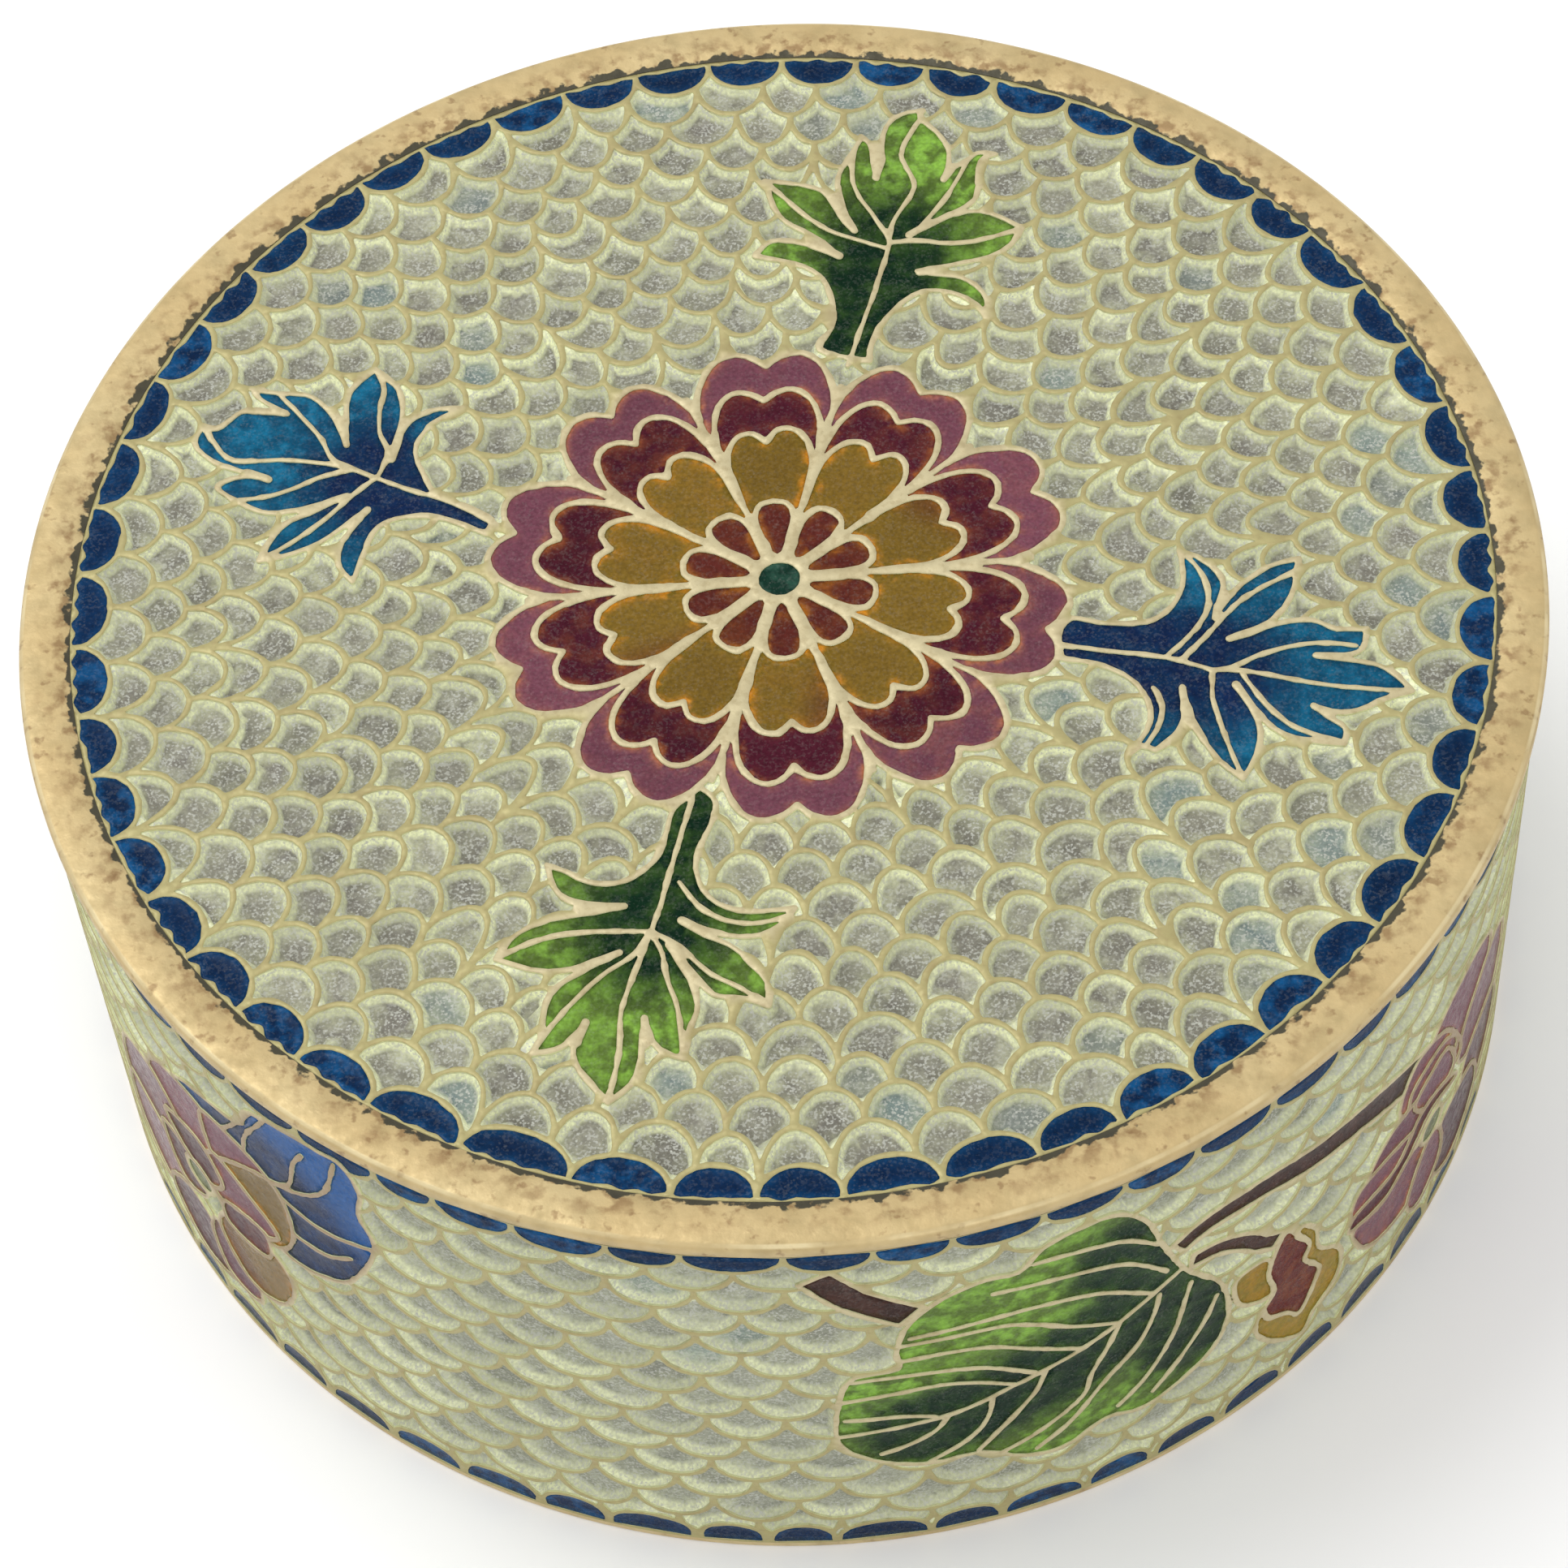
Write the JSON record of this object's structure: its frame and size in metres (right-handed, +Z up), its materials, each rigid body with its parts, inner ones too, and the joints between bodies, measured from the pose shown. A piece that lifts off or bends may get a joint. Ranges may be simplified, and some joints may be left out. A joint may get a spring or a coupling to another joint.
{
  "type": "round enamel trinket box",
  "caption": "Round trinket box of translucent enamel between brass wires, with brass rims and a flat lift-off lid; it stands on its foot rim.",
  "frame": {"origin": "centre of the foot rim's underside, on the surface the box stands on", "axes": "+Z up along the box's axis, -Y towards the front shown in the picture, +X to the right seen from the front"},
  "size_m": [0.076, 0.076, 0.031],
  "materials": {
    "brass": "satin brass with small brown tarnish specks, burnished along the outer edge",
    "lid_enamel": "polished translucent enamel in wire cells, grey ground with a maroon and gold flower, green and blue leaves and a navy scalloped border",
    "wall_enamel": "polished translucent enamel in wire cells, pale grey-green scales with a green leaf, a red bud, mauve flowers and navy scallops",
    "floor_enamel": "polished translucent enamel in wire cells, plain pale grey-green scales"
  },
  "bodies": {
    "root": {"lid_rim": "brass", "lid_panel": "lid_enamel", "mouth_rim": "brass", "box_wall": "wall_enamel", "foot_rim": "brass", "floor_panel": "floor_enamel"}
  },
  "joints": []
}
